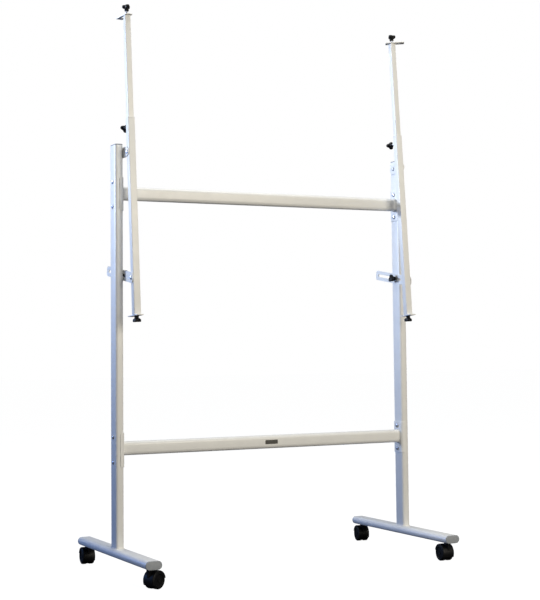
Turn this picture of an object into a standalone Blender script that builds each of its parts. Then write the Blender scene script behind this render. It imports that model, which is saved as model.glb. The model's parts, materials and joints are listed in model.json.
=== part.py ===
"""Mobile stand of a rolling whiteboard: two wheeled feet, two uprights, two crossbars and two
tilting, telescoping board holders with clamp jaws. Metres, +Z up, front towards -Y."""
from math import cos, pi, radians, sin

import bmesh
import bpy
from mathutils import Vector

# ---- driving dimensions (metres) ----
GAP = 0.0003                 # between pieces that touch
SPAN = 1.200                 # between the uprights' centre lines
BOX_SHIFT = (-0.0012, -0.0096)   # puts the origin under the middle of the bounding box

FOOT_WIDTH, FOOT_THICK, FOOT_WALL = 0.060, 0.030, 0.002
FOOT_LENGTH, FOOT_Z = 0.700, 0.085
FOOT_CAP = 0.0035

UPRIGHT_X, UPRIGHT_Y, UPRIGHT_R, UPRIGHT_WALL = 0.030, 0.060, 0.0095, 0.002
UPRIGHT_TOP, UPRIGHT_CAP = 1.554, 0.004

BAR_DEPTH, BAR_HEIGHT, BAR_R, BAR_WALL = 0.030, 0.050, 0.014, 0.0015
BAR_Z = {"upper": 1.3750, "lower": 0.4530}

SADDLE_T, SADDLE_HEIGHT, SADDLE_REACH, SADDLE_DROP = 0.0025, 0.122, 0.014, 0.004
SADDLE_CORNER = 0.004
BOLT_SPACING, BOLT_R, BOLT_HEAD_R, BOLT_HEAD_T = 0.090, 0.004, 0.0075, 0.0035
NUT_T = 0.005
HOLE_PLAY = 0.0003

LABEL_SIZE, LABEL_X = (0.052, 0.0155, 0.001), 0.013

PLATE_T = 0.003              # pivot brackets and tilt links
LUG_CORNER, LUG_SLOPE = 0.004, 0.018
PIVOT_Z, PIVOT_HEIGHT, PIVOT_BACK, PIVOT_EYE = 1.521, 0.038, 0.022, 0.013
LEAN = radians(4.56)         # the holders' lean at rest: foot forward, top back
PIVOT_Y = -0.0675

OUTER, OUTER_WALL = 0.026, 0.0016
INNER, INNER_WALL = 0.021, 0.0015
OUTER_TOP, OUTER_BOTTOM = 0.1235, -0.592   # along the holder, from its pivot
INNER_TOP, INNER_LENGTH = {"left": 0.509, "right": 0.506}, 0.560
END_WALL = 0.006

JAW_WIDTH, JAW_LENGTH, JAW_T, JAW_SLOT = 0.027, 0.075, 0.003, (0.007, 0.045)
# turn about the screw (degrees) and shift of the slotted plate along itself
JAW_POSE = {
    ("left", "top"): (10.0, 0.0185),
    ("right", "top"): (60.0, -0.012),
    ("left", "bottom"): (7.0, 0.007),
    ("right", "bottom"): (0.0, 0.0),
}
KNOB_PHASE = {               # degrees from local X to the first lobe
    ("lock", "left"): 75,
    ("lock", "right"): 60,
    ("tilt", "left"): 60,
    ("tilt", "right"): 0,
    ("top", "left"): 33,
    ("top", "right"): -27,
    ("bottom", "left"): -3,
    ("bottom", "right"): -8,
}
JAW_KNOB_LIFT = {("left", "top"): 0.0135, ("right", "top"): 0.0090}

STUD_R = 0.003
KNOB_NECK_R, KNOB_NECK, KNOB_HEAD_R, KNOB_LOBE, KNOB_HEAD = 0.008, 0.008, 0.0130, 0.0034, 0.0135
KNOB_RIM, KNOB_EDGE = 0.008, 0.0012
LOCK_S, LOCK_BOSS_R, LOCK_BOSS, LOCK_STANDOFF = 0.0990, 0.008, 0.014, 0.028

CLAMP_Y, CLAMP_Z = 0.0, 1.079        # stud that the tilt link slides on
LINK_RISE = radians(8.43)
LINK_HEIGHT, LINK_NOSE, LINK_LENGTH = 0.038, 0.015, 0.252
LINK_SLOT = (0.011, 0.062, 0.232)    # width, start and end, from the link's pin
LINK_CORNER = 0.012
TILT_KNOB_TIP = 0.012                # stud's length inside the upright
JAW_STUD_INSIDE = 0.012
JAW_CORNER, JAW_EDGE = 0.004, 0.0004
CAP_PLUG, CAP_EDGE = 0.014, 0.0020

CASTER_Y, TRAIL = 0.312, 0.022
CASTER_TURN = {"front_left": -63.9, "back_left": -3.5, "front_right": -3.3, "back_right": -10.4}
WHEEL_R, WHEEL_OUT, WHEEL_IN = 0.0300, 0.0235, 0.0045
WHEEL_EDGE = 0.0040
SHOULDER, SHOULDER_DROP = 0.0040, 0.0030   # rounding of the hood's upper sides
WEB_HALF, WEB_R, FENDER_IN, FENDER_OUT = 0.0040, 0.0285, 0.0314, 0.0335
FENDER_ARC = (14, 207)       # degrees, from the trailing side over the top and down the front
AXLE_R, STEM_R, STEM_TOP = 0.004, 0.005, 0.083
COLLAR_R, COLLAR_BOTTOM, COLLAR_EDGE = 0.0125, 0.0605, 0.068
COLUMN_HALF, COLUMN_FOOT, COLUMN_TOP = 0.0110, 0.050, 0.064
BRAKE_AT, BRAKE_SLOPE = 12, -30   # hinge: degrees round the axle; pedal: degrees below level
BRAKE_HUB_R, BRAKE_LENGTH, BRAKE_HALF_WIDTH, BRAKE_T = 0.003, 0.012, 0.009, 0.0026

WHITE_PAINT, GREY_PLASTIC, BLACK_PLASTIC = "white_paint", "grey_plastic", "black_plastic"
BLACK_RUBBER, ZINC, DARK_LABEL = "black_rubber", "zinc", "dark_label"
FINISHES = {                 # base colour, roughness, metallic
    WHITE_PAINT: ((0.80, 0.80, 0.78), 0.35, 0.0),
    GREY_PLASTIC: ((0.40, 0.41, 0.40), 0.55, 0.0),
    BLACK_PLASTIC: ((0.012, 0.012, 0.013), 0.40, 0.0),
    BLACK_RUBBER: ((0.010, 0.010, 0.011), 0.60, 0.0),
    ZINC: ((0.55, 0.56, 0.58), 0.35, 0.9),
    DARK_LABEL: ((0.05, 0.05, 0.055), 0.45, 0.0),
}

SIDES = {"left": -1, "right": 1}
ENDS = {"front": -1, "back": 1}
UPRIGHT_INSIDE = SPAN / 2 - UPRIGHT_X / 2
PLATE_X = UPRIGHT_INSIDE - GAP - PLATE_T / 2
HOLDER_X = UPRIGHT_INSIDE - 2 * GAP - PLATE_T - OUTER / 2


# ---- materials ----
def make_material(name, color, roughness, metallic):
    material = bpy.data.materials.new(name)
    material.use_nodes = True
    shader = material.node_tree.nodes["Principled BSDF"]
    shader.inputs["Base Color"].default_value = (*color, 1.0)
    shader.inputs["Roughness"].default_value = roughness
    shader.inputs["Metallic"].default_value = metallic
    material.diffuse_color = (*color, 1.0)


# ---- outlines and solids ----
def rounded_outline(width, height, radius, steps=3):
    """Closed outline of a rounded rectangle about the origin, anticlockwise."""
    points = []
    for quarter, (sx, sy) in enumerate(((1, 1), (-1, 1), (-1, -1), (1, -1))):
        for step in range(steps + 1):
            angle = pi / 2 * (quarter + step / steps)
            x = sx * (width / 2 - radius) + radius * cos(angle)
            y = sy * (height / 2 - radius) + radius * sin(angle)
            points.append((x, y))
    return points


def circle_outline(radius, steps=12):
    return [(radius * cos(2 * pi * i / steps), radius * sin(2 * pi * i / steps)) for i in range(steps)]


def lobed_outline(radius, lobe, phase, steps=18):
    points = []
    for i in range(steps):
        angle = 2 * pi * i / steps + radians(phase)
        reach = radius + lobe * cos(3 * (angle - radians(phase)))
        points.append((reach * cos(angle), reach * sin(angle)))
    return points


def at_x(outline, x):
    return [(x, a, b) for a, b in outline]


def at_y(outline, y):
    return [(a, y, b) for a, b in outline]


def at_z(outline, z):
    return [(a, b, z) for a, b in outline]


def loft(rings, ring_closed=False):
    """Skin a run of equal-count rings; a ring_closed run becomes a tube, others get end faces."""
    bm = bmesh.new()
    loops = [[bm.verts.new(point) for point in ring] for ring in rings]
    pairs = list(zip(loops, loops[1:]))
    if ring_closed:
        pairs.append((loops[-1], loops[0]))
    else:
        bm.faces.new(loops[0])
        bm.faces.new(list(reversed(loops[-1])))
    for first, second in pairs:
        count = len(first)
        for i in range(count):
            j = (i + 1) % count
            bm.faces.new((first[i], first[j], second[j], second[i]))
    bmesh.ops.recalc_face_normals(bm, faces=bm.faces)
    return bm


def tube(place, outer, inner, start, end):
    return loft([place(outer, start), place(outer, end), place(inner, end), place(inner, start)], True)


def chamfered_bar(place, outline_of, start, end, edge):
    """Solid bar whose end edges are cut back by edge; outline_of(inset) gives its section."""
    return loft([
        place(outline_of(edge), start),
        place(outline_of(0), start + edge),
        place(outline_of(0), end - edge),
        place(outline_of(edge), end),
    ])


# ---- objects ----
def add_object(name, bm, material, location=(0, 0, 0), rotation=(0, 0, 0), parent=None):
    mesh = bpy.data.meshes.new(name)
    bm.to_mesh(mesh)
    bm.free()
    mesh.shade_smooth()
    mesh.set_sharp_from_angle(angle=radians(35))
    obj = bpy.data.objects.new(name, mesh)
    mesh.materials.append(bpy.data.materials[material])
    return place_object(obj, location, rotation, parent)


def add_empty(name, location, rotation=(0, 0, 0), parent=None):
    return place_object(bpy.data.objects.new(name, None), location, rotation, parent)


def place_object(obj, location, rotation, parent):
    bpy.context.scene.collection.objects.link(obj)
    if parent is None:
        location = Vector(location) + Vector((*BOX_SHIFT, 0))
    obj.parent = parent
    obj.location = location
    obj.rotation_euler = rotation
    return obj


def combine(obj, bm, operation="DIFFERENCE"):
    """Boolean obj with a tool shape that is given in obj's own coordinates."""
    count = len(obj.modifiers)
    mesh = bpy.data.meshes.new(f"{obj.name}_tool_{count}")
    bm.to_mesh(mesh)
    bm.free()
    tool = bpy.data.objects.new(mesh.name, mesh)
    bpy.context.scene.collection.objects.link(tool)
    tool.parent = obj
    tool.hide_render = True
    tool.display_type = "WIRE"
    modifier = obj.modifiers.new(f"{operation.lower()}_{count}", "BOOLEAN")
    modifier.operation = operation
    modifier.solver = "EXACT"
    modifier.object = tool


def rod(place, radius, start, end, centre=(0, 0), steps=12):
    outline = [(a + centre[0], b + centre[1]) for a, b in circle_outline(radius, steps)]
    return loft([place(outline, start), place(outline, end)])


# ---- feet and casters ----
def build_foot(side, sign):
    outer = rounded_outline(FOOT_WIDTH, FOOT_THICK, FOOT_THICK / 2 - 1e-5, 5)
    bore = (FOOT_WIDTH - 2 * FOOT_WALL, FOOT_THICK - 2 * FOOT_WALL)
    inner = rounded_outline(*bore, bore[1] / 2 - 1e-5, 5)
    half = FOOT_LENGTH / 2 - FOOT_CAP - GAP
    where = (sign * SPAN / 2, 0, FOOT_Z)
    foot = add_object(f"foot_{side}", tube(at_y, outer, inner, -half, half), WHITE_PAINT, where)
    for end in ENDS.values():
        hole = rod(at_z, STEM_R + HOLE_PLAY, -FOOT_THICK, 0, (0, end * CASTER_Y))
        combine(foot, hole)
    for end_name, end in ENDS.items():
        cap = foot_cap(end)
        where = (sign * SPAN / 2, end * (half + GAP), FOOT_Z)
        add_object(f"foot_cap_{end_name}_{side}", cap, GREY_PLASTIC, where)


def foot_cap(end):
    """Push-in plug with a slightly domed cover; local Y = 0 is the tube's end."""
    def section(inset):
        return rounded_outline(FOOT_WIDTH - 2 * inset, FOOT_THICK - 2 * inset,
                               FOOT_THICK / 2 - inset - 1e-5, 5)
    plug = FOOT_WALL + GAP
    steps = ((plug, -CAP_PLUG), (plug, 0), (0, 0), (0, 0.6 * FOOT_CAP), (CAP_EDGE, FOOT_CAP))
    return loft([at_y(section(inset), end * y) for inset, y in steps])


def build_caster(corner, sign, end):
    turn = (0, 0, radians(CASTER_TURN[corner]))
    swivel = add_empty(f"caster_{corner}_swivel", (sign * SPAN / 2, end * CASTER_Y, 0), turn)
    hood = add_object(f"caster_hood_{corner}", hood_web(), BLACK_PLASTIC, parent=swivel)
    combine(hood, fender(), "UNION")
    collar_top = FOOT_Z - FOOT_THICK / 2 - GAP
    steps = ((COLLAR_R, COLLAR_BOTTOM), (COLLAR_R, COLLAR_EDGE), (COLLAR_R - 0.0015, collar_top))
    combine(hood, loft([at_z(circle_outline(radius), z) for radius, z in steps]), "UNION")
    combine(hood, rod(at_z, STEM_R, COLUMN_TOP, STEM_TOP), "UNION")
    bore = rod(at_x, AXLE_R + HOLE_PLAY, -WHEEL_OUT, WHEEL_OUT, (TRAIL, WHEEL_R))
    combine(hood, bore)
    axle = (0, TRAIL, WHEEL_R)
    add_object(f"caster_wheels_{corner}", wheel_pair(), BLACK_RUBBER, axle, parent=swivel)
    if end < 0:
        lift = radians(BRAKE_AT)
        reach = FENDER_OUT + GAP + BRAKE_HUB_R
        hinge = (0, TRAIL + reach * cos(lift), WHEEL_R + reach * sin(lift))
        add_object(f"brake_pedal_{corner}", brake_pedal(), BLACK_PLASTIC, hinge, parent=swivel)


def arc_points(radius, start, finish, steps):
    """Points about the axle in the caster's Y and Z; angles in degrees from the trailing side."""
    angles = [radians(start + (finish - start) * i / steps) for i in range(steps + 1)]
    return [(TRAIL + radius * cos(angle), WHEEL_R + radius * sin(angle)) for angle in angles]


def hood_web():
    """Middle web between the two wheels: a disc about the axle, with a column up to the stem."""
    reach = (FENDER_IN + FENDER_OUT) / 2
    column = [(COLUMN_HALF, COLUMN_TOP), (-COLUMN_HALF, COLUMN_TOP), (-COLUMN_HALF, COLUMN_FOOT)]
    outline = arc_points(reach, -8, 100, 10) + column
    outline += arc_points(reach, 168, 200, 4) + arc_points(WEB_R, 210, 345, 10)
    return loft([at_x(outline, -WEB_HALF), at_x(outline, WEB_HALF)])


def fender():
    start, finish = FENDER_ARC
    flat = WHEEL_OUT - SHOULDER
    rings = []
    for x, drop in ((-WHEEL_OUT, SHOULDER_DROP), (-flat, 0), (flat, 0), (WHEEL_OUT, SHOULDER_DROP)):
        over = arc_points(FENDER_OUT - drop, start, finish, 14)
        under = arc_points(FENDER_IN - drop, finish, start, 14)
        rings.append(at_x(over + under, x))
    return loft(rings)


def wheel_pair():
    """Two wheels on their axle, turned about local X."""
    half = [(WHEEL_OUT, WHEEL_R - WHEEL_EDGE), (WHEEL_OUT - WHEEL_EDGE, WHEEL_R),
            (WHEEL_IN + WHEEL_EDGE, WHEEL_R), (WHEEL_IN, WHEEL_R - WHEEL_EDGE), (WHEEL_IN, AXLE_R)]
    profile = half + [(-x, r) for x, r in reversed(half)]
    return loft([at_x(circle_outline(radius, 24), x) for x, radius in profile])


def brake_pedal():
    """Foot pedal on a hub; local origin on its hinge, pedal pointing back and a little down."""
    slope = radians(BRAKE_SLOPE)
    along = (cos(slope), sin(slope))
    across = (-along[1], along[0])
    half = BRAKE_T / 2
    outline = []
    for i in range(9):
        angle = radians(60) + radians(300 - 60) * i / 8 + slope
        outline.append((BRAKE_HUB_R * cos(angle), BRAKE_HUB_R * sin(angle)))
    for reach, offset in ((BRAKE_LENGTH, -half), (BRAKE_LENGTH + 0.001, 0), (BRAKE_LENGTH, half)):
        outline.append((reach * along[0] + offset * across[0], reach * along[1] + offset * across[1]))
    return loft([at_x(outline, -BRAKE_HALF_WIDTH), at_x(outline, BRAKE_HALF_WIDTH)])


# ---- uprights, crossbars and their saddles ----
def build_upright(side, sign):
    bottom = FOOT_Z + FOOT_THICK / 2 + GAP
    top = UPRIGHT_TOP - UPRIGHT_CAP - GAP
    outer = rounded_outline(UPRIGHT_X, UPRIGHT_Y, UPRIGHT_R)
    inner = rounded_outline(UPRIGHT_X - 2 * UPRIGHT_WALL, UPRIGHT_Y - 2 * UPRIGHT_WALL,
                            UPRIGHT_R - UPRIGHT_WALL)
    where = (sign * SPAN / 2, 0, 0)
    upright = add_object(f"upright_{side}", tube(at_z, outer, inner, bottom, top), WHITE_PAINT, where)
    for z in bolt_heights():
        combine(upright, rod(at_x, BOLT_R + HOLE_PLAY, -0.02, 0.02, (0, z)))
    for radius, y, z in ((BOLT_R, 0.0, PIVOT_Z), (STUD_R, CLAMP_Y, CLAMP_Z)):
        combine(upright, rod(at_x, radius + HOLE_PLAY, 0, -sign * 0.02, (y, z)))

    def section(inset):
        return rounded_outline(UPRIGHT_X - 2 * inset, UPRIGHT_Y - 2 * inset, UPRIGHT_R - inset)
    plug = UPRIGHT_WALL + GAP
    steps = ((plug, -CAP_PLUG), (plug, 0), (0, 0), (0, 0.6 * UPRIGHT_CAP), (CAP_EDGE, UPRIGHT_CAP))
    cap = loft([at_z(section(inset), z) for inset, z in steps])
    where = (sign * SPAN / 2, 0, UPRIGHT_TOP - UPRIGHT_CAP)
    add_object(f"upright_cap_{side}", cap, GREY_PLASTIC, where)


def bolt_heights():
    return [BAR_Z[level] - SADDLE_DROP + up * BOLT_SPACING / 2 for level in BAR_Z for up in (1, -1)]


def build_crossbar(level):
    outer = rounded_outline(BAR_DEPTH, BAR_HEIGHT, BAR_R)
    inner = rounded_outline(BAR_DEPTH - 2 * BAR_WALL, BAR_HEIGHT - 2 * BAR_WALL, BAR_R - BAR_WALL)
    half = UPRIGHT_INSIDE - SADDLE_T - 2 * GAP
    add_object(f"crossbar_{level}", tube(at_x, outer, inner, -half, half), WHITE_PAINT, (0, 0, BAR_Z[level]))


def saddle_outline(reach, sign):
    """Plan of the saddle: round the inner half of the upright, reach metres along its front and back."""
    points = []
    for offset, order in ((GAP, 1), (GAP + SADDLE_T, -1)):
        side = []
        for y_sign, quarter in ((-1, 0), (1, 1)):
            corner = []
            for step in range(4):
                angle = pi / 2 * step / 3
                radius = UPRIGHT_R + offset
                x = UPRIGHT_X / 2 - UPRIGHT_R + radius * sin(angle)
                y = UPRIGHT_Y / 2 - UPRIGHT_R + radius * cos(angle)
                corner.append((x, y_sign * y))
            tip = (UPRIGHT_X / 2 - reach, y_sign * (UPRIGHT_Y / 2 + offset))
            run = [tip] + corner
            side += run if quarter == 0 else list(reversed(run))
        points += side if order > 0 else list(reversed(side))
    return [(-sign * x, y) for x, y in points]


def build_saddle(level, side, sign):
    """Bracket welded to the bar's end and bolted through the upright."""
    rings = []
    half = SADDLE_HEIGHT / 2
    for step in range(3):
        angle = pi / 2 * step / 2
        reach = SADDLE_REACH - SADDLE_CORNER * (1 - sin(angle))
        rings.append((reach, half - SADDLE_CORNER * (1 - cos(angle))))
    rings = [(reach, -z) for reach, z in rings] + [(reach, z) for reach, z in reversed(rings)]
    rings = sorted(set(rings), key=lambda ring: ring[1])
    bm = loft([at_z(saddle_outline(reach, sign), z) for reach, z in rings])
    where = (sign * SPAN / 2, 0, BAR_Z[level] - SADDLE_DROP)
    saddle = add_object(f"saddle_{level}_{side}", bm, WHITE_PAINT, where)
    for up in (1, -1):
        combine(saddle, rod(at_x, BOLT_R + HOLE_PLAY, -0.03, 0.03, (0, up * BOLT_SPACING / 2)))
    for up, name in ((1, "top"), (-1, "low")):
        where = (sign * SPAN / 2, 0, BAR_Z[level] - SADDLE_DROP + up * BOLT_SPACING / 2)
        add_object(f"bolt_{level}_{side}_{name}", through_bolt(sign), ZINC, where)


def through_bolt(sign):
    """Dome-head bolt from the outer face, with its nut on the saddle; local X points outward."""
    face = UPRIGHT_X / 2 + GAP
    nut = -(UPRIGHT_X / 2 + 2 * GAP + SADDLE_T)
    steps = ((face + BOLT_HEAD_T, 0.6), (face + 0.5 * BOLT_HEAD_T, 1), (face, 1),
             (face, BOLT_R / BOLT_HEAD_R), (nut, BOLT_R / BOLT_HEAD_R), (nut, 0.93), (nut - NUT_T, 0.93))
    return loft([at_x(circle_outline(BOLT_HEAD_R * scale), sign * x) for x, scale in steps])


def build_label():
    width, height, thick = LABEL_SIZE
    def section(inset):
        return rounded_outline(width - 2 * inset, height - 2 * inset, 0.0015 - inset, 3)
    bm = chamfered_bar(at_y, section, -thick, 0, 0.0003)
    add_object("label_plate", bm, DARK_LABEL, (LABEL_X, -BAR_DEPTH / 2 - GAP, BAR_Z["lower"]))


# ---- board holders ----
def build_holder(side, sign):
    tilt = add_empty(f"holder_{side}_tilt", (sign * HOLDER_X, PIVOT_Y, PIVOT_Z), (-LEAN, 0, 0))
    build_outer_tube(side, sign, tilt)
    build_inner_tube(side, tilt)
    build_pivot(side, sign, tilt)
    build_link(side, sign, tilt)
    build_jaw(side, "top", tilt, INNER_TOP[side])
    build_jaw(side, "bottom", tilt, OUTER_BOTTOM)
    start = INNER / 2 + GAP
    lock = knob_on_stud(OUTER / 2 + LOCK_STANDOFF - start, KNOB_PHASE["lock", side])
    add_object(f"lock_knob_{side}", lock, BLACK_PLASTIC, (0, start, LOCK_S), (-pi / 2, 0, 0), tilt)


def square(size, radius, inset=0):
    return rounded_outline(size - 2 * inset, size - 2 * inset, radius - inset, 3)


def build_outer_tube(side, sign, tilt):
    outer, inner = square(OUTER, 0.0025), square(OUTER - 2 * OUTER_WALL, 0.0010)
    tube_obj = add_object(f"holder_tube_{side}", tube(at_z, outer, inner, OUTER_BOTTOM, OUTER_TOP),
                          WHITE_PAINT, parent=tilt)
    end_wall = square(OUTER - OUTER_WALL, 0.0015)
    wall = loft([at_z(end_wall, OUTER_BOTTOM + 0.001), at_z(end_wall, OUTER_BOTTOM + END_WALL)])
    combine(tube_obj, wall, "UNION")
    combine(tube_obj, rod(at_z, STUD_R + HOLE_PLAY, OUTER_BOTTOM - 0.01, OUTER_BOTTOM + 0.01))
    boss = rod(at_y, LOCK_BOSS_R, OUTER / 2 - OUTER_WALL / 2, OUTER / 2 + LOCK_BOSS, (0, LOCK_S))
    combine(tube_obj, boss, "UNION")
    combine(tube_obj, rod(at_y, STUD_R + HOLE_PLAY, 0, 0.05, (0, LOCK_S)))
    link_y, link_z = link_pin()
    for y, z in ((0, 0), (link_y, link_z)):
        combine(tube_obj, rod(at_x, BOLT_R + HOLE_PLAY, 0, sign * 0.03, (y, z)))


def build_inner_tube(side, tilt):
    top = INNER_TOP[side]
    outer, inner = square(INNER, 0.0020), square(INNER - 2 * INNER_WALL, 0.0008)
    bm = tube(at_z, outer, inner, top - INNER_LENGTH, top)
    inner_tube = add_object(f"extension_tube_{side}", bm, WHITE_PAINT, parent=tilt)
    end_wall = square(INNER - INNER_WALL, 0.0012)
    wall = loft([at_z(end_wall, top - END_WALL), at_z(end_wall, top - 0.001)])
    combine(inner_tube, wall, "UNION")
    combine(inner_tube, rod(at_z, STUD_R + HOLE_PLAY, top - 2 * END_WALL, top + END_WALL))


def build_pivot(side, sign, tilt):
    """Lug on the upright's inner face, reaching forward to the holder's pivot."""
    half = PIVOT_HEIGHT / 2
    reach = PIVOT_Y
    outline = [(PIVOT_BACK - LUG_CORNER, -half), (PIVOT_BACK, -half + LUG_CORNER),
               (PIVOT_BACK, half - LUG_CORNER), (PIVOT_BACK - LUG_CORNER, half)]
    outline.append((reach + LUG_CORNER, half))
    for step in range(7):
        angle = radians(110 + 150 * step / 6)
        outline.append((reach + PIVOT_EYE * cos(angle), PIVOT_EYE * sin(angle)))
    outline.append((reach + LUG_SLOPE, -half))
    x = sign * (PLATE_X - SPAN / 2)
    bm = loft([at_x(outline, x - PLATE_T / 2), at_x(outline, x + PLATE_T / 2)])
    where = (sign * SPAN / 2, 0, PIVOT_Z)
    lug = add_object(f"pivot_lug_{side}", bm, WHITE_PAINT, where)
    for y in (0, PIVOT_Y):
        combine(lug, rod(at_x, BOLT_R + HOLE_PLAY, -0.03, 0.03, (y, 0)))
    add_object(f"pivot_pin_{side}", shoulder_pin(sign), ZINC, parent=tilt)


def shoulder_pin(sign):
    """Pivot pin with its head on the plate's outer side, riveted in the holder's side wall."""
    start = OUTER / 2 - OUTER_WALL
    face = OUTER / 2 + 2 * GAP + PLATE_T
    steps = ((start, BOLT_R / BOLT_HEAD_R), (face, BOLT_R / BOLT_HEAD_R), (face, 1),
             (face + 0.5 * BOLT_HEAD_T, 1), (face + BOLT_HEAD_T, 0.6))
    return loft([at_x(circle_outline(BOLT_HEAD_R * scale), sign * x) for x, scale in steps])


def link_pin():
    """Where the link's line from the clamp stud crosses the holder, in the holder's own Y and Z."""
    rise = sin(LINK_RISE) / cos(LINK_RISE)
    lean = sin(LEAN) / cos(LEAN)
    drop = (PIVOT_Z - CLAMP_Z - rise * (PIVOT_Y - CLAMP_Y)) / (1 - rise * lean)
    return 0.0, -drop / cos(LEAN)


def build_link(side, sign, tilt):
    """Slotted tilt link: an eye on the holder and a slot that rides on the clamp stud."""
    pin_y, pin_z = link_pin()
    x = sign * (PLATE_X - HOLDER_X)
    pivot = add_empty(f"tilt_link_{side}_pivot", (x, pin_y, pin_z), (LINK_RISE + LEAN, 0, 0), tilt)
    half = LINK_HEIGHT / 2
    nose = [(-LINK_NOSE + LINK_NOSE * (1 - cos(a)), -half * sin(a)) for a in
            [radians(90 * step / 4) for step in range(5)]]
    corner = LINK_CORNER
    back = [(LINK_LENGTH - corner + corner * sin(a), -half + corner - corner * cos(a)) for a in
            [radians(90 * step / 4) for step in range(5)]]
    lower = nose + back
    upper = [(y, -z) for y, z in reversed(lower[1:])]
    outline = lower + upper
    bm = loft([at_x(outline, -PLATE_T / 2), at_x(outline, PLATE_T / 2)])
    link = add_object(f"tilt_link_{side}", bm, WHITE_PAINT, parent=pivot)
    combine(link, rod(at_x, BOLT_R + HOLE_PLAY, -0.01, 0.01))
    width, start, end = LINK_SLOT
    slot = [(y + (start + end) / 2, z) for y, z in rounded_outline(end - start, width, width / 2 - 1e-5, 4)]
    combine(link, loft([at_x(slot, -0.01), at_x(slot, 0.01)]))
    add_object(f"link_pin_{side}", shoulder_pin(sign), ZINC, (0, pin_y, pin_z), parent=tilt)
    tip = UPRIGHT_INSIDE + TILT_KNOB_TIP
    seat = UPRIGHT_INSIDE - 2 * GAP - PLATE_T
    where = (sign * tip, CLAMP_Y, CLAMP_Z)
    bm = knob_on_stud(tip - seat, KNOB_PHASE["tilt", side])
    add_object(f"tilt_knob_{side}", bm, BLACK_PLASTIC, where, (0, -sign * pi / 2, 0))


def build_jaw(side, level, tilt, seat):
    up = 1 if level == "top" else -1
    turn, shift = JAW_POSE[side, level]
    shift *= up
    def section(inset):
        outline = rounded_outline(JAW_WIDTH - 2 * inset, JAW_LENGTH - 2 * inset, JAW_CORNER - inset)
        return [(x, y + shift) for x, y in outline]
    bm = chamfered_bar(at_z, section, GAP, GAP + JAW_T, JAW_EDGE)
    rotation = (0, 0, radians(turn)) if up > 0 else (pi, 0, radians(turn))
    jaw = add_object(f"jaw_{level}_{side}", bm, WHITE_PAINT, (0, 0, seat), rotation, tilt)
    width, length = JAW_SLOT
    slot = [(x, y + shift) for x, y in rounded_outline(width, length, width / 2 - 1e-5, 4)]
    combine(jaw, loft([at_z(slot, -0.01), at_z(slot, 0.01)]))
    lift = JAW_KNOB_LIFT.get((side, level), 0)
    stud = JAW_STUD_INSIDE + 2 * GAP + JAW_T + lift
    rotation = (0, 0, 0) if up > 0 else (pi, 0, 0)
    add_object(f"jaw_knob_{level}_{side}", knob_on_stud(stud, KNOB_PHASE[level, side]), BLACK_PLASTIC,
               (0, 0, seat - up * JAW_STUD_INSIDE), rotation, tilt)


def knob_on_stud(stud, phase):
    """Three-lobed knob: a threaded stud from the origin along +Z, then neck and flared head."""
    neck = stud + KNOB_NECK
    top = neck + KNOB_HEAD
    steps = ((0, STUD_R, 0), (stud, STUD_R, 0), (stud, KNOB_NECK_R, 0), (neck, KNOB_NECK_R, 0),
             (top - KNOB_RIM, KNOB_HEAD_R, KNOB_LOBE), (top - KNOB_EDGE, KNOB_HEAD_R, KNOB_LOBE),
             (top, KNOB_HEAD_R - KNOB_EDGE, KNOB_LOBE))
    return loft([at_z(lobed_outline(radius, lobe, phase), z) for z, radius, lobe in steps])


def main():
    for obj in list(bpy.data.objects):
        bpy.data.objects.remove(obj, do_unlink=True)
    for name, (color, roughness, metallic) in FINISHES.items():
        make_material(name, color, roughness, metallic)
    for side, sign in SIDES.items():
        build_foot(side, sign)
        build_upright(side, sign)
        for end_name, end in ENDS.items():
            build_caster(f"{end_name}_{side}", sign, end)
        for level in BAR_Z:
            build_saddle(level, side, sign)
        build_holder(side, sign)
    for level in BAR_Z:
        build_crossbar(level)
    build_label()


main()
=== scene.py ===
"""Looks of the mobile whiteboard stand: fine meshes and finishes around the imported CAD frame.
Metres, +Z up, front towards -Y. Every place comes from the frame's joints and node boxes."""

import json
from math import atan2, cos, pi, radians, sin

import bmesh
import bpy
from mathutils import Matrix, Vector


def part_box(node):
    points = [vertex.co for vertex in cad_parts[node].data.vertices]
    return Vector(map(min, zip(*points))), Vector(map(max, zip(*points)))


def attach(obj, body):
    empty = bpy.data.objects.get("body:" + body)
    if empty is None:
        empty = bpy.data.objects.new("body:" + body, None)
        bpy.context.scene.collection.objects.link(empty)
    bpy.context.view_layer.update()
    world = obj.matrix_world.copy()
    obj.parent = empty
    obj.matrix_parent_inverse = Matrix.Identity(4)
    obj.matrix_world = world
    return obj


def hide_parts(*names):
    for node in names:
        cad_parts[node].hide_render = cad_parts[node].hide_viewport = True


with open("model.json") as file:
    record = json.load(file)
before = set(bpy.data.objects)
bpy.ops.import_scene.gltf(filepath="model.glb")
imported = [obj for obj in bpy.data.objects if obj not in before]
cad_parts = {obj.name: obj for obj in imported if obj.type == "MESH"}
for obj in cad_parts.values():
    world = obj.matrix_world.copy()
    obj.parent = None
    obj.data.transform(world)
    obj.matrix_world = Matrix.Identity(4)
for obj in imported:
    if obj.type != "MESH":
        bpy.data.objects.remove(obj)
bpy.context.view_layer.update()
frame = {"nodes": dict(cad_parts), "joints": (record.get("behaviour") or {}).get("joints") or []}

SIDES = {"left": -1, "right": 1}
LEVELS = {"top": 1, "bottom": -1}
BARS = ("upper", "lower")
JOINTS = {joint["name"]: joint for joint in frame["joints"]}
NODES = frame["nodes"]
X_AXIS, Y_AXIS, Z_AXIS = Vector((1, 0, 0)), Vector((0, 1, 0)), Vector((0, 0, 1))

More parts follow.
